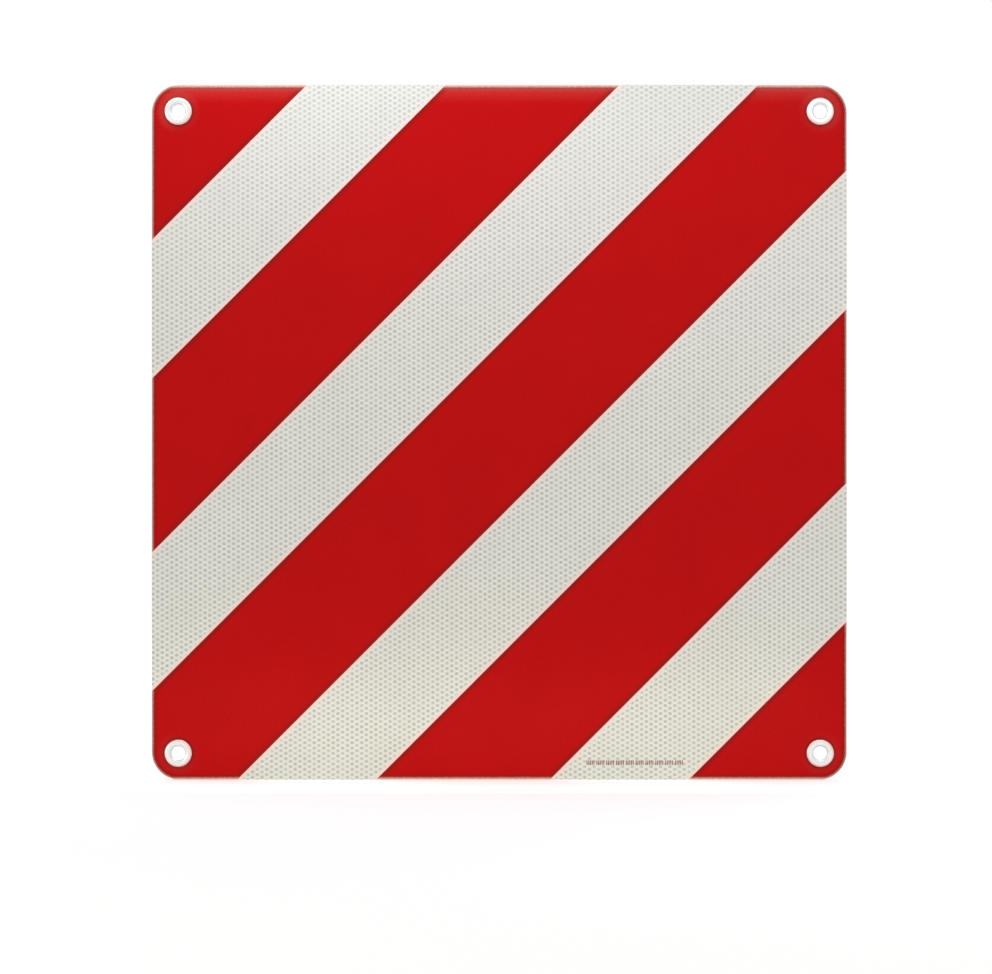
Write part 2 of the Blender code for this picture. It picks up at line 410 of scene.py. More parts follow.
adhesive_loops = [rounded_square(half_side - adhesive_setback, corner_radius, corner_steps)]
for x, z in eyelet_centres.values():
    adhesive_loops.append(hole_loop(x, z, hole_radius + adhesive_setback, hole_steps))
adhesive_bulge = np.array([[adhesive_bead, film_back], [0.0, film_back - adhesive_turn],
                           [0.0, plate_front + adhesive_turn], [adhesive_bead, plate_front]])
add_piece("adhesive_layer", adhesive, None, None, closed_sheet(adhesive_loops, adhesive_bulge))

# White film
# Reflective film of the encapsulated kind: a clear top skin is welded to the backing along a
# honeycomb of pale lines, and each cell between them shows the greyer layer of glass beads. The
# welds pull the skin in slightly. It is laid in strips that slope up to the right at 45 degrees.

film_front = -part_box("red_strip_middle")[0].y
red_width = 0.0884
white_width = 0.0707
strip_shift = 0.00075
seam = 0.00008
film_round = 0.00005
film_margin = 0.00020
walk_step = 0.0012
cell_column = 0.003415
cell_pitch = 0.003820
cell_reach = cell_column * 2 / 3
cell_apothem = cell_pitch / 2
cell_top = 0.80
cell_columns, cell_rows = 110, 80
cell_clearance = 0.00025
weld_depth = 0.000030
film_grain_depth = 0.000010

# The tinted zone is in from a red strip's border, and the even one up from the sign's middle.
tinted_zone = (-0.0034, -0.0014)
even_zone = (0.06, 0.24)

white_weld_highlight = (0.880, 0.875, 0.795, 1.0)
white_weld = (0.777, 0.777, 0.695, 1.0)
white_beads = (0.546, 0.546, 0.487, 1.0)
white_core = (0.470, 0.472, 0.423, 1.0)
white_even = (0.715, 0.713, 0.645, 1.0)
white_dust = (0.330, 0.315, 0.280, 1.0)
white_tinted = (0.920, 0.690, 0.620, 1.0)


def clipped(loop, direction, limit):
    """The part of a loop whose distance along the direction is within the limit. Where a side
    crosses it, a point is set at the share of the side at which the distance is the limit."""
    past = loop @ direction - limit
    following = np.roll(past, -1)
    crosses = past * following < 0
    share = np.where(crosses, past / np.where(crosses, past - following, 1), 0)
    cut = loop + share[:, None] * (np.roll(loop, -1, axis=0) - loop)
    both = np.stack([loop, cut], axis=1).reshape(-1, 2)
    return both[np.stack([past <= 0, crosses], axis=1).ravel()]


def stepped(loop, longest):
    """The loop with each side cut into equal steps, none longer than given."""
    side = np.roll(loop, -1, axis=0) - loop
    count = np.ceil(np.linalg.norm(side, axis=1) / longest).astype(int)
    start = np.repeat(np.arange(len(loop)), count)
    share = (np.arange(count.sum()) - (np.cumsum(count) - count)[start]) / count[start]
    return loop[start] + side[start] * share[:, None]


def from_outline(points):
    """How far the points lie in from the sign's outline."""
    past = np.abs(points) - (half_side - corner_radius)
    over = np.linalg.norm(np.maximum(past, 0), axis=1)
    return corner_radius - over - np.minimum(past.max(axis=1), 0)


def across_strips(side):
    """The direction square to the strips: down to the right on the lower side."""
    return side * np.array([1.0, -1.0]) / math.sqrt(2)


def strip_loop(side, near, far):
    """A strip's outline: the sign's, clipped on the strip's long sides. These lie near and far
    from the middle strip's centre line, which is shifted up to the left of the sign's centre.
    The last strip on a side has no far one."""
    direction = across_strips(side)
    middle = -side * strip_shift
    loop = clipped(sign_loop, -direction, -(middle + near + seam / 2))
    return loop if far is None else clipped(loop, direction, middle + far - seam / 2)


def cell_share(points):
    """How far each point is from the middle of its honeycomb cell, as a share of the way to the
    cell's wall. Two sets of centres are tried, and the nearer one counts."""
    scaled = points / np.array([cell_reach, cell_apothem])
    shares = []
    for offset in ((0.0, 0.0), (1.5, 1.0)):
        local = scaled - np.array(offset)
        local = np.abs(local - np.array([3.0, 2.0]) * np.round(local / np.array([3.0, 2.0])))
        shares.append(np.maximum(local[:, 1], local[:, 0] + local[:, 1] / 2))
    return np.minimum(*shares)


def weld_relief(points):
    """The skin's depth: nothing over a cell, falling evenly to the weld's depth at its wall."""
    return weld_depth * np.clip((cell_share(points) - cell_top) / (1 - cell_top), 0, 1)


def honeycomb(side, near, far):
    """The inner points of a white strip, and the edges that follow the welds: the corners of each
    cell's top, then the two corners of the cell's walls that are its own."""
    columns = np.arange(-cell_columns, cell_columns + 1)
    rows = np.arange(-cell_rows, cell_rows + 1)
    column, row = (grid.ravel() for grid in np.meshgrid(columns, rows, indexing="ij"))
    odd = column % 2
    centre = np.stack([column * cell_column, (row + odd / 2) * cell_pitch], axis=1)
    turn = np.arange(6) * np.pi / 3
    corner = np.stack([np.cos(turn), np.sin(turn) / math.sin(np.pi / 3)], axis=1)
    corner = corner * np.array([cell_reach, cell_apothem])
    right, left = centre + corner[0], centre + corner[3]
    tops = (centre[:, None] + corner * cell_top).reshape(-1, 2)
    points = np.concatenate([right, left, tops])
    count, high = len(centre), len(rows)
    this = np.arange(count)
    welds = []
    for over, up in ((2, 0 * odd), (1, odd), (1, odd - 1)):
        real = (column + over <= columns[-1]) & (row + up <= rows[-1]) & (row + up >= rows[0])
        welds.append(np.stack([this, this + over * high + up + count], axis=1)[real])
    welds = np.concatenate(welds)
    past = points @ across_strips(side) + side * strip_shift
    room = np.minimum(from_outline(points), past - near)
    if far is not None:
        room = np.minimum(room, far - past)
    kept = room > film_margin + cell_clearance
    number = np.cumsum(kept) - 1
    welds = welds[kept[welds].all(axis=1)]
    return points[kept], number[welds]


def honeycomb_group():
    """The same honeycomb for a material: Wall rises from 0 in the middle of a cell to 1 on its
    wall, Weld is 1 along the walls and fades inwards, Level is Wall where the nearest wall is a
    level one and little elsewhere, and Cell is a number of the cell's own."""
    outputs = {"Wall": "Float", "Weld": "Float", "Level": "Float", "Cell": "Float"}
    tree, _, out = new_group("honeycomb_cells", {}, outputs)
    where = put(tree, "TexCoord")["Object"]
    scale = (1 / cell_reach, 0.0, 1 / cell_apothem)
    scaled = put(tree, "VectorMath", {0: where, 1: scale}, operation="MULTIPLY")[0]
    shares, places, levels = [], [], []
    for offset in ((0.0, 0.0, 0.0), (1.5, 0.0, 1.0)):
        moved = put(tree, "VectorMath", {0: scaled, 1: offset}, operation="SUBTRACT")[0]
        limits = {0: moved, 1: (1.5, 1.0, 1.0), 2: (-1.5, -1.0, -1.0)}
        local = put(tree, "VectorMath", limits, operation="WRAP")[0]
        size = put(tree, "VectorMath", {0: local}, operation="ABSOLUTE")[0]
        size = put(tree, "SeparateXYZ", {0: size})
        slope = sums(tree, "MULTIPLY_ADD", size["Z"], 0.5, size["X"])
        shares.append(sums(tree, "MAXIMUM", size["Z"], slope))
        flat = ramp(tree, sums(tree, "SUBTRACT", size["Z"], slope), -0.15, 0.20)
        levels.append(sums(tree, "MULTIPLY", flat, size["Z"]))
        places.append(local)
    wall = sums(tree, "MINIMUM", *shares)
    tree.links.new(wall, out["Wall"])
    tree.links.new(ramp(tree, wall, 0.38, 0.82), out["Weld"])
    second = sums(tree, "LESS_THAN", shares[1], shares[0])
    local = put(tree, "Mix", {0: second, 4: places[0], 5: places[1]}, data_type="VECTOR")[1]
    tree.links.new(put(tree, "Mix", {0: second, 2: levels[0], 3: levels[1]})[0], out["Level"])
    centre = put(tree, "VectorMath", {0: scaled, 1: local}, operation="SUBTRACT")[0]
    number = put(tree, "VectorMath", {0: centre, 1: (1 / 1.5, 1.0, 1.0), 2: (0.5, 0.5, 0.5)},
                 operation="MULTIPLY_ADD")[0]
    number = put(tree, "VectorMath", {0: number}, operation="FLOOR")[0]
    tree.links.new(put(tree, "TexWhiteNoise", {"Vector": number})[0], out["Cell"])
    return tree


def strip_border_group():
    """How far a point lies inside the nearest red strip, or less than nothing in a white one: half
    a red strip's width, less the distance to the nearest centre line of one."""
    tree, _, out = new_group("distance_into_red", {}, {"Inside": "Float"})
    where = put(tree, "TexCoord")["Object"]
    slope = 1 / math.sqrt(2)
    direction = (slope, 0.0, -slope)
    across = put(tree, "VectorMath", {0: where, 1: direction}, operation="DOT_PRODUCT")["Value"]
    across = sums(tree, "ABSOLUTE", sums(tree, "ADD", across, strip_shift))
    half_pitch = (red_width + white_width) / 2
    off_centre = sums(tree, "ABSOLUTE", sums(tree, "WRAP", across, half_pitch, -half_pitch))
    tree.links.new(sums(tree, "SUBTRACT", red_width / 2, off_centre), out["Inside"])
    return tree


def frayed_border_group():
    """How far a film's border strays from its line: a fine noise less its mean, times Width."""
    tree, given, out = new_group("frayed_border", {"Width": 0.0012}, {"Offset": "Float"})
    where = put(tree, "TexCoord")["Object"]
    ragged = sums(tree, "SUBTRACT", noise(tree, where, 850.0, 3.0, 0.6), 0.5)
    tree.links.new(sums(tree, "MULTIPLY", ragged, given["Width"]), out["Offset"])
    return tree


def dust_group():
    """Specks: the middles of scattered cells, kept where a cell's random number is below Share.
    Size is a speck's radius as a share of the spacing, and Spacing is in metres."""
    inputs = {"Spacing": 0.01, "Size": 0.1, "Share": 0.3}
    tree, given, out = new_group("dust_specks", inputs, {"Specks": "Float"})
    where = put(tree, "TexCoord")["Object"]
    scale = sums(tree, "DIVIDE", 1.0, given["Spacing"])
    cells = put(tree, "TexVoronoi", {"Vector": where, "Scale": scale})
    number = put(tree, "SeparateColor", {0: cells["Color"]})[0]
    chosen = sums(tree, "LESS_THAN", number, given["Share"])
    reach = sums(tree, "DIVIDE", cells["Distance"], given["Size"])
    close = sums(tree, "SUBTRACT", 1.0, reach, clamp=True)
    tree.links.new(sums(tree, "MULTIPLY", close, chosen), out["Specks"])
    return tree


honeycomb_cells = honeycomb_group()
distance_into_red = strip_border_group()
frayed_border = frayed_border_group()
dust_specks = dust_group()

white_film, tree, shader, where = new_material("white_film", Specular_IOR_Level=0.30)
cells = use(tree, honeycomb_cells)
beads = noise(tree, where, 1500.0, 3.0)
mottle = noise(tree, where, 22.0, 3.0)
uneven = noise(tree, where, 420.0, 2.0)
core = ramp(tree, cells["Wall"], 0.12, 0.54, 1.0, 0.0)
colour = blended(tree, sums(tree, "MULTIPLY", core, 0.85), white_beads, white_core)
colour = blended(tree, ramp(tree, cells["Cell"], 0.0, 1.0, 0.0, 0.28), colour, white_weld)
colour = blended(tree, cells["Weld"], colour, white_weld)
# Painted highlight: the level welds are lighter, in patches, as if they caught the light from above.
level = ramp(tree, cells["Level"], 0.55, 0.95)
level_weld_highlight = sums(tree, "MULTIPLY", level, ramp(tree, uneven, 0.30, 0.62))
colour = blended(tree, level_weld_highlight, colour, white_weld_highlight)
colour = blended(tree, ramp(tree, beads, 0.35, 0.75, 0.0, 0.10), colour, white_dust)
colour = blended(tree, ramp(tree, mottle, 0.35, 0.75, 0.0, 0.05), colour, white_dust)
high = put(tree, "SeparateXYZ", {0: where})["Z"]
colour = blended(tree, ramp(tree, high, *even_zone, 0.0, 0.22), colour, white_even)
frayed = use(tree, frayed_border)["Offset"]
into_red = sums(tree, "ADD", use(tree, distance_into_red)["Inside"], frayed)
colour = blended(tree, ramp(tree, into_red, *tinted_zone, 0.0, 0.85), colour, white_tinted)
specks = use(tree, dust_specks, spacing=0.016, size=0.035, share=0.35)["Specks"]
colour = blended(tree, sums(tree, "MULTIPLY", specks, 0.5), colour, white_dust)
scuffs = use(tree, hairline_scuffs, angle=-0.5, scale=70.0, width=0.006, share=0.60)["Scuffs"]
rough = ramp(tree, mottle, 0.3, 0.7, 0.24, 0.34)
rough = sums(tree, "ADD", rough, sums(tree, "MULTIPLY", cells["Weld"], 0.08))
rough = sums(tree, "ADD", rough, sums(tree, "MULTIPLY", scuffs, 0.15))
height = sums(tree, "SUBTRACT", sums(tree, "MULTIPLY", beads, 0.3), sums(tree, "MULTIPLY", scuffs, 0.5))
feed(tree, shader, Base_Color=colour, Roughness=rough,
     Normal=relief_normal(tree, height, film_grain_depth))

film_edge = rounded_edge(film_front, film_back, film_round, film_round, film_margin)
white_near = {1: red_width / 2, 2: red_width * 1.5 + white_width}
for place, side in (("upper", -1), ("lower", 1)):
    for number, near in white_near.items():
        far = near + white_width
        loop = stepped(strip_loop(side, near, far), walk_step)
        inner, welds = honeycomb(side, near, far)
        strip = closed_sheet([loop], film_edge, inner, [welds], weld_relief)
        add_piece(f"white_film_{place}_{number}", white_film, "white_film",
                  f"white_strip_{place}_{number}", strip)

# Printed mark
# A row of small plain bars in red screen ink, printed on the lower white strip just above the
# sign's bottom edge. The ink stands proud of the film by a few hundredths of a millimetre.

mark_left, mark_right = 0.0632, 0.1318
mark_height = -0.2378
bar_width, bar_tall = 0.00068, 0.0032
bars_in_group, groups = 5, 10
bar_spacing = 0.00124
ink_thickness = 0.00002
ink_shoulder, ink_spread = 0.00005, 0.00001
ink_grain_depth = 0.000006
bar_corner_share = 0.35
ink_red = (0.175, 0.028, 0.025, 1.0)
ink_thin = (0.330, 0.100, 0.090, 1.0)

ink, tree, shader, where = new_material("screen_ink", Specular_IOR_Level=0.35)
dense = ramp(tree, noise(tree, where, 1100.0, 3.0), 0.40, 0.66)
uneven = ramp(tree, noise(tree, where, 90.0, 2.0), 0.35, 0.7, 0.0, 0.6)
colour = blended(tree, sums(tree, "MAXIMUM", dense, uneven), ink_red, ink_thin)
feed(tree, shader, Base_Color=colour, Roughness=ramp(tree, dense, 0.0, 1.0, 0.38, 0.55),
     Normal=relief_normal(tree, dense, ink_grain_depth))

group_pitch = (mark_right - mark_left - (bars_in_group - 1) * bar_spacing) / (groups - 1)
bar_left = mark_left + np.add.outer(np.arange(groups) * group_pitch,
                                    np.arange(bars_in_group) * bar_spacing).ravel()
bar_outline = rounded_square(1.0, bar_corner_share, 3) / 2 * [bar_width, bar_tall]
ink_edge = np.array([
    [ink_shoulder, film_front + ink_thickness],
    [ink_spread, film_front + ink_thickness * 0.7],
    [0.0, film_front - ink_thickness],
])
bars = [closed_sheet([bar_outline + [x, mark_height]], ink_edge) for x in bar_left]
add_piece("printed_mark", ink, "red_film", None, *bars)

# Red film
# The same make of film in transparent red, smooth and slightly glossy. The colour hides all but a
# trace of its honeycomb, and has a very faint unevenness and a few specks. A pale band along the
# sign's upper edge is painted sheen, a dark ring round each eyelet is painted shadow with some grime,
# and the film is paler about the eyelets, more so at the top. The end strips fill the corners.

red_colour = (0.505, 0.0032, 0.0040, 1.0)
red_deep = (0.450, 0.0027, 0.0033, 1.0)
red_pale = (0.560, 0.0300, 0.0240, 1.0)
red_weld = (0.532, 0.0060, 0.0065, 1.0)
red_grime_and_shade = (0.170, 0.0120, 0.0100, 1.0)
red_washed = (0.520, 0.0550, 0.0500, 1.0)
red_rim = (0.880, 0.560, 0.455, 1.0)

# The zones are in from a border, out from an eyelet's axis, or up from the sign's middle.
top_edge_sheen_zone = (0.2355, 0.2485)
seam_zone = (0.0014, 0.0048)
flange_shadow_zone = (0.0104, 0.0130)
border_zone = (0.0019, 0.0046)
washed_zone = (0.0040, 0.0200)
washed_clear_zone = (0.0098, 0.0172)
washed_height_zone = (0.0, 0.15)
cut_zone = (-0.0004, 0.0020)
top_zone = (half_side - 0.0030, half_side + 0.0006)
below_top_zone = (half_side - 0.0052, half_side - 0.0030)
foot_zone = (-0.0003 - half_side, 0.0025 - half_side)

red_film, tree, shader, where = new_material("red_film", Specular_IOR_Level=0.05)
mottle = noise(tree, where, 26.0, 4.0, 0.55)
fine = noise(tree, where, 700.0, 3.0)
colour = blended(tree, ramp(tree, mottle, 0.3, 0.7, 0.0, 0.40), red_colour, red_deep)
colour = blended(tree, ramp(tree, fine, 0.35, 0.75, 0.0, 0.15), colour, red_deep)
weld = use(tree, honeycomb_cells)["Weld"]
colour = blended(tree, sums(tree, "MULTIPLY", weld, 0.22), colour, red_weld)
frayed = use(tree, frayed_border)["Offset"]
from_edge = sums(tree, "ADD", use(tree, edge_distance)["Distance"], frayed)
high = sums(tree, "ADD", put(tree, "SeparateXYZ", {0: where})["Z"], frayed)
# Painted sheen: a pale band of light along the sign's upper edge, broken up by fine noise.
upper = ramp(tree, high, *top_edge_sheen_zone)
top_edge_sheen = sums(tree, "MULTIPLY", upper, ramp(tree, fine, 0.25, 0.7, 0.65, 1.0))
colour = blended(tree, top_edge_sheen, colour, red_pale)
into_red = sums(tree, "ADD", use(tree, distance_into_red)["Inside"], frayed)
from_eyelet = sums(tree, "ADD", use(tree, eyelet_distance)["Distance"], frayed)
# Darker bands along the borders with the white strips and along the outline. The ring round each
# eyelet's flange is painted shadow with some grime, and all three take the dark colour.
seamed = ramp(tree, into_red, *seam_zone, 0.50, 0.0)
flange_shadow = ramp(tree, from_eyelet, *flange_shadow_zone, 0.65, 0.0)
edged = ramp(tree, from_edge, *border_zone, 0.62, 0.0)
dark_bands_and_shadow = sums(tree, "MAXIMUM", seamed, sums(tree, "MAXIMUM", flange_shadow, edged))
colour = blended(tree, dark_bands_and_shadow, colour, red_grime_and_shade)
outer = ramp(tree, from_edge, *washed_zone, 0.58, 0.14)
washed = sums(tree, "MULTIPLY", outer, ramp(tree, from_eyelet, *washed_clear_zone, 1.0, 0.0))
washed = sums(tree, "MULTIPLY", washed, ramp(tree, high, *washed_height_zone, 0.3, 1.0))
colour = blended(tree, washed, colour, red_washed)
trimmed = ramp(tree, from_edge, *cut_zone, 0.62, 0.0)
for zone, low_share, high_share in ((top_zone, 0.0, 1.1), (below_top_zone, 0.0, 0.05),
                                    (foot_zone, 1.0, 0.0)):
    trimmed = sums(tree, "MAXIMUM", trimmed, ramp(tree, high, *zone, low_share, high_share))
colour = blended(tree, trimmed, colour, red_rim)
dark = use(tree, dust_specks, spacing=0.020, size=0.030, share=0.30)["Specks"]
colour = blended(tree, sums(tree, "MULTIPLY", dark, 0.8), colour, red_grime_and_shade)
pale = use(tree, dust_specks, spacing=0.027, size=0.020, share=0.25)["Specks"]
colour = blended(tree, sums(tree, "MULTIPLY", pale, 0.9), colour, red_pale)
scuffs = use(tree, hairline_scuffs, angle=0.4, scale=64.0, width=0.006, share=0.60)["Scuffs"]
rough = ramp(tree, mottle, 0.3, 0.7, 0.20, 0.30)
rough = sums(tree, "ADD", rough, sums(tree, "MULTIPLY", scuffs, 0.2))
rough = sums(tree, "ADD", rough, sums(tree, "MULTIPLY", upper, 0.1))
height = sums(tree, "SUBTRACT", sums(tree, "MULTIPLY", fine, 0.5), sums(tree, "MULTIPLY", scuffs, 0.6))
height = sums(tree, "SUBTRACT", height, sums(tree, "MULTIPLY", weld, 0.12))
feed(tree, shader, Base_Color=colour, Roughness=rough,
     Normal=relief_normal(tree, height, film_grain_depth))

red_strips = [("middle", 1, -red_width / 2, red_width / 2, ("top_right", "bottom_left"))]
for place, side, corner in (("upper", -1, "top_left"), ("lower", 1, "bottom_right")):
    near = red_width / 2 + white_width
    red_strips.append((f"{place}_1", side, near, near + red_width, ()))
    red_strips.append((f"{place}_2", side, near + red_width + white_width, None, (corner,)))
for name, side, near, far, corners in red_strips:
    loops = [strip_loop(side, near, far), *(holes[corner] for corner in corners)]
    add_piece(f"red_film_{name}", red_film, "red_film", f"red_strip_{name}",
              closed_sheet(loops, film_edge))

# Eyelets
# Pressed from thin aluminium and set from the front: a domed flange that comes down on the film,
# a throat, a short barrel through the sign, and the end rolled out over the washer at the back.
# The rolling tool leaves fine rings and a slightly uneven edge.

eyelet_wall = 0.0005
bore_radius = barrel_radius - eyelet_wall
seat_gap = 0.0003
flange_seat = film_front + seat_gap
flange_rise = 0.0015
throat_width = 0.0020
crest_width = 0.0008
lip_width = 0.0022
rear_bend = 0.0005
rear_rim = 0.0014
washer_thickness = 0.0005
rim_seat = -(2 * seat_gap + washer_thickness)
crest_swell = 0.00003
rim_waves = 0.00022
turn_steps = 112
arc_steps = 9
small_arc_steps = 5
least_step = 1e-7
ring_depth = 0.000008

eyelet_colour = (0.860, 0.862, 0.858, 1.0)
eyelet_dull = (0.700, 0.702, 0.700, 1.0)
eyelet_dark = (0.330, 0.335, 0.320, 1.0)
eyelet_red_reflection = (0.910, 0.470, 0.410, 1.0)
throat_shade_zone = (0.0049, 0.0078)
red_reflection_zone = (0.0074, 0.0099)
red_reflection_margin = 0.0001


def arc(centre, radii, first, last, steps=arc_steps):
    """Points (radius, level) along an ellipse, at equal steps between two angles from outward."""
    angle = np.radians(np.linspace(first, last, steps + 1))[:, None]
    return np.array(centre) + np.array(radii) * np.concatenate([np.cos(angle), np.sin(angle)], axis=1)


def turned(section, centre, unevenness=None):
    """A closed section carried round an axis along Y: each of its (radius, level) points runs
    round a circle, its radius changed by the unevenness, a function of the point and angle."""
    section = section[np.linalg.norm(section - np.roll(section, 1, axis=0), axis=1) > least_step]
    angle = np.arange(turn_steps) * 2 * np.pi / turn_steps
    radius, level = np.broadcast_arrays(section[:, 0], section[:, 1])
    radius = np.broadcast_to(radius, (turn_steps, len(section)))
    level = np.broadcast_to(level, (turn_steps, len(section)))
    if unevenness is not None:
        radius = radius + unevenness(radius, level, angle[:, None])
    points = np.stack([centre[0] + radius * np.cos(angle[:, None]), -level,
                       centre[1] + radius * np.sin(angle[:, None])], axis=-1).reshape(-1, 3)
    number = np.arange(turn_steps * len(section)).reshape(turn_steps, -1)
    ahead = np.roll(number, -1, axis=0)
    quads = np.stack([number, ahead, np.roll(ahead, -1, axis=1), np.roll(number, -1, axis=1)], axis=-1)
    return points, quads.reshape(-1, 4)


def eyelet_section():
    """The eyelet's section: the seen side of the sheet from the lip over the crest, down the
    throat and barrel and out along the rolled end, then the other side the same way back."""
    wall = eyelet_wall
    throat = (bore_radius + throat_width, flange_seat)
    lip = (throat[0] + crest_width, flange_seat)
    bend = (barrel_radius + rear_bend, rim_seat + rear_bend)
    rim = (bend[0] + rear_rim, rim_seat)
    crest = np.linspace(lip[0], throat[0], 5)[1:-1]
    swell = crest_swell * (1 - np.linspace(-1, 1, 5)[1:-1] ** 2)
    crest = np.stack([crest, flange_seat + flange_rise - crest_swell + swell], axis=1)
    lowered = np.array([0, crest_swell])
    outer_lip = arc(lip, (lip_width, flange_rise), 0, 90)
    outer_throat = arc(throat, (throat_width, flange_rise), 90, 180)
    outer_lip[-1] -= lowered
    outer_throat[0] -= lowered
    return np.concatenate([
        outer_lip, crest, outer_throat,
        arc(bend, (rear_bend + wall, rear_bend + wall), 180, 270),
        arc(rim, (wall, wall), 270, 360),
        arc(bend, (rear_bend, rear_bend), 270, 180, small_arc_steps),
        arc(throat, (throat_width - wall, flange_rise - wall), 180, 90, small_arc_steps),
        arc(lip, (lip_width - wall, flange_rise - wall), 90, 0, small_arc_steps),
    ])


def rolled_edge(phase):
    """The unevenness of a rolled end: three waves of different counts round the axis, inwards
    only, growing with the distance out along the rim and nothing forward of it."""
    def inward(radius, level, angle):
        waves = (np.cos(5 * angle + phase) + 0.7 * np.cos(8 * angle + 2.1 * phase)
                 + 0.5 * np.cos(13 * angle + 3.3 * phase)) / 4.4 + 0.5
        share = np.clip((radius - barrel_radius - rear_bend) / (rear_rim + eyelet_wall), 0, 1)
        return -rim_waves * waves * share * (level < rim_seat + rear_bend / 2)
    return inward


bright_metal, tree, shader, _ = new_material("bright_metal", Metallic=1.0)
eyelet_place = use(tree, eyelet_distance)
place, radius = eyelet_place["Place"], eyelet_place["Distance"]
depth = put(tree, "SeparateXYZ", {0: place})["Y"]
ring_place = put(tree, "CombineXYZ", {0: radius, 1: depth})[0]
rings = noise(tree, ring_place, 5200.0, 2.0)
tarnish = noise(tree, place, 330.0, 4.0)
pits = noise(tree, place, 2600.0, 2.0)
colour = blended(tree, ramp(tree, rings, 0.3, 0.7, 0.0, 0.35), eyelet_colour, eyelet_dull)
colour = blended(tree, ramp(tree, tarnish, 0.48, 0.75, 0.0, 0.45), colour, eyelet_dull)
# Painted shade: darker in the throat, towards the bore.
inner = ramp(tree, radius, *throat_shade_zone, 0.25, 0.0)
# Painted reflection: the front of the flange's outer lip takes a pink tint of the red film round it.
front_side = sums(tree, "LESS_THAN", depth, red_reflection_margin - flange_seat)
red_reflection = sums(tree, "MULTIPLY", ramp(tree, radius, *red_reflection_zone, 0.0, 0.85), front_side)
colour = blended(tree, inner, colour, eyelet_dark)
colour = blended(tree, red_reflection, colour, eyelet_red_reflection)
rough = ramp(tree, tarnish, 0.3, 0.75, 0.26, 0.44)
height = sums(tree, "ADD", sums(tree, "MULTIPLY", rings, 0.7), sums(tree, "MULTIPLY", pits, 0.5))
feed(tree, shader, Base_Color=colour, Roughness=rough, Normal=relief_normal(tree, height, ring_depth))

for number, (corner, centre) in enumerate(eyelet_centres.items()):
    body = turned(eyelet_section(), centre, rolled_edge(1.7 * number + 0.4))
    add_piece(f"set_eyelet_{corner}", bright_metal, "bright_metal", f"eyelet_{corner}", body)

# Washers
# Flat aluminium rings, punched from thin sheet, that lie between the plate's back and the rolled
# end of each eyelet. The punch left the rear edges rounded and the front ones square.

washer_width = 0.0037
washer_bore = barrel_radius + rear_bend + barrel_clearance
washer_outer = washer_bore + washer_width
washer_front = -seat_gap
washer_back = washer_front - washer_thickness
washer_round = 0.0002
washer_bore_round = 0.0001
washer_break = 0.00005
washer_bore_steps = 4
rim_shade_zone = (0.0076, 0.0086)
brushed_depth = 0.000010

washer_metal, tree, shader, _ = new_material("washer_metal", Metallic=1.0)
washer_place = use(tree, eyelet_distance)
tarnish = noise(tree, washer_place["Place"], 260.0, 4.0)
brushed = use(tree, rolled_grain, fine=3400.0, broad=520.0)
# Painted shade: the washer's back is darker just outside the edge of the eyelet's rolled end.
rim_shade = ramp(tree, washer_place["Distance"], *rim_shade_zone, 1.0, 0.0)
colour = blended(tree, ramp(tree, brushed["Hairs"], 0.3, 0.7, 0.0, 0.4), eyelet_dull, eyelet_colour)
colour = blended(tree, ramp(tree, tarnish, 0.45, 0.7, 0.0, 0.35), colour, eyelet_dark)
colour = blended(tree, sums(tree, "MULTIPLY", rim_shade, 0.3), colour, eyelet_dark)
rough = ramp(tree, tarnish, 0.3, 0.7, 0.32, 0.48)
feed(tree, shader, Base_Color=colour, Roughness=rough,
     Normal=relief_normal(tree, brushed["Hairs"], brushed_depth))

outer_round = (washer_outer - washer_round, washer_back + washer_round)
inner_round = (washer_bore + washer_bore_round, washer_back + washer_bore_round)
washer_ring = np.concatenate([
    [[washer_bore + washer_break, washer_front], [washer_outer - washer_break, washer_front]],
    [[washer_outer, washer_front - washer_break]],
    arc(outer_round, (washer_round, washer_round), 0, -90, small_arc_steps),
    arc(inner_round, (washer_bore_round, washer_bore_round), 270, 180, washer_bore_steps),
    [[washer_bore, washer_front - washer_break]],
])[::-1]
for corner, centre in eyelet_centres.items():
    add_piece(f"flat_washer_{corner}", washer_metal, "bright_metal", f"washer_{corner}",
              turned(washer_ring, centre))

# Studio
# A white table that the sign stands on, which glows for the camera, more further off, and white
# all round. A soft strip lamp hangs over the sign's front, with a faint one at its foot and broad
# ones to the left and behind. The camera looks square on to it, from just below its middle.

sign_low = cad_box[0].z
floor_size = 12.0
table_white = (0.86, 0.86, 0.85, 1.0)
table_roughness = 0.9
glow_zone = (0.4, 2.0)
glow_near, glow_far = 0.26, 0.37
world_lit, world_seen = 0.75, 1.0
camera_distance = 2.2
seen_width = 0.7140
camera_x, camera_z = -0.00234, -0.0394


def seen_rays(tree):
    """1 for the rays that see a surface, from the camera or by way of metal or clear film, and 0
    for those that only light it: the highest of the three kinds."""
    path = put(tree, "LightPath")
    mirrored = sums(tree, "MAXIMUM", path["Is Glossy Ray"], path["Is Transmission Ray"])
    return sums(tree, "MAXIMUM", path["Is Camera Ray"], mirrored)


table_mesh = bpy.data.meshes.new("studio_table")
side = floor_size / 2
table_mesh.from_pydata([(-side, -side, sign_low), (side, -side, sign_low), (side, side, sign_low),
                        (-side, side, sign_low)], [], [(0, 1, 2, 3)])
table = bpy.data.objects.new("studio_table", table_mesh)
bpy.context.scene.collection.objects.link(table)

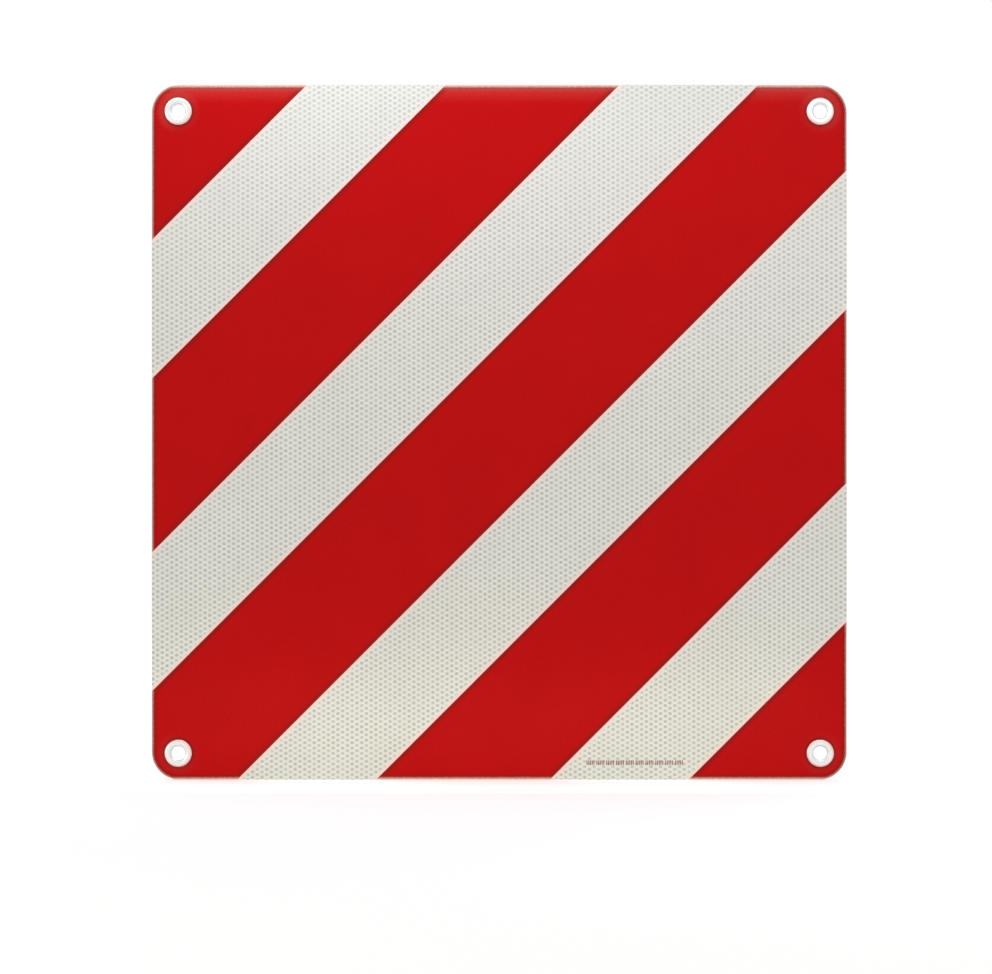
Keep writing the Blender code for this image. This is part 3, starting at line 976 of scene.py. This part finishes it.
table_material = bpy.data.materials.new("table_white")
table_material.use_nodes = True
tree = table_material.node_tree
shader = tree.nodes["Principled BSDF"]
shader.inputs["Base Color"].default_value = table_white
shader.inputs["Roughness"].default_value = table_roughness
shader.inputs["Specular IOR Level"].default_value = 0.0
away = put(tree, "VectorMath", {0: put(tree, "TexCoord")["Object"]}, operation="LENGTH")["Value"]
glow = ramp(tree, away, *glow_zone, glow_near, glow_far)
feed(tree, shader, Emission_Strength=sums(tree, "MULTIPLY", seen_rays(tree), glow))
shader.inputs["Emission Color"].default_value = (1.0, 1.0, 1.0, 1.0)
table_mesh.materials.append(table_material)

world = bpy.data.worlds.new("studio")
bpy.context.scene.world = world
world.use_nodes = True
tree = world.node_tree
strength = put(tree, "MapRange", {0: seen_rays(tree), 3: world_lit, 4: world_seen})[0]
background = tree.nodes["Background"]
background.inputs["Color"].default_value = (1.0, 1.0, 1.0, 1.0)
tree.links.new(strength, background.inputs["Strength"])


def add_lamp(name, place, aim, size, power, colour, mirrored=True):
    """A rectangular soft lamp at a place, turned to face its aim. Glossy surfaces show it only
    where it is mirrored."""
    lamp = bpy.data.lights.new(name, "AREA")
    lamp.shape = "RECTANGLE"
    lamp.size, lamp.size_y = size
    lamp.energy = power
    lamp.color = colour
    holder = bpy.data.objects.new(name, lamp)
    holder.location = place
    holder.rotation_euler = (Vector(aim) - Vector(place)).to_track_quat("-Z", "Y").to_euler()
    holder.visible_camera = False
    holder.visible_glossy = mirrored
    bpy.context.scene.collection.objects.link(holder)


add_lamp("upper_strip", (-0.12, -0.12, 0.36), (-0.06, 0.0, 0.1), (1.6, 0.15), 1.43, (0.84, 0.84, 1.0))
add_lamp("lower_strip", (0.0, -0.09, -0.21), (0.0, 0.0, -0.24), (0.5, 0.06), 0.050, (1.0, 1.0, 0.8),
         mirrored=False)
add_lamp("left_softbox", (-1.1, -0.8, 0.0), (0.0, 0.0, 0.0), (0.8, 0.8), 2.8, (1.0, 1.0, 1.0))
add_lamp("rear_softbox", (0.5, 1.3, 1.1), (0.0, 0.0, 0.0), (1.2, 0.9), 5.0, (1.0, 1.0, 1.0))

camera_data = bpy.data.cameras.new("square_on")
camera_data.lens = camera_data.sensor_width * camera_distance / seen_width
camera_data.clip_start, camera_data.clip_end = 0.05, 60.0
camera = bpy.data.objects.new("square_on", camera_data)
camera.location = (camera_x, -film_front - camera_distance, camera_z)
camera.rotation_euler = (math.pi / 2, 0.0, 0.0)
bpy.context.scene.collection.objects.link(camera)
bpy.context.scene.camera = camera
bpy.context.scene.view_settings.view_transform = "Standard"
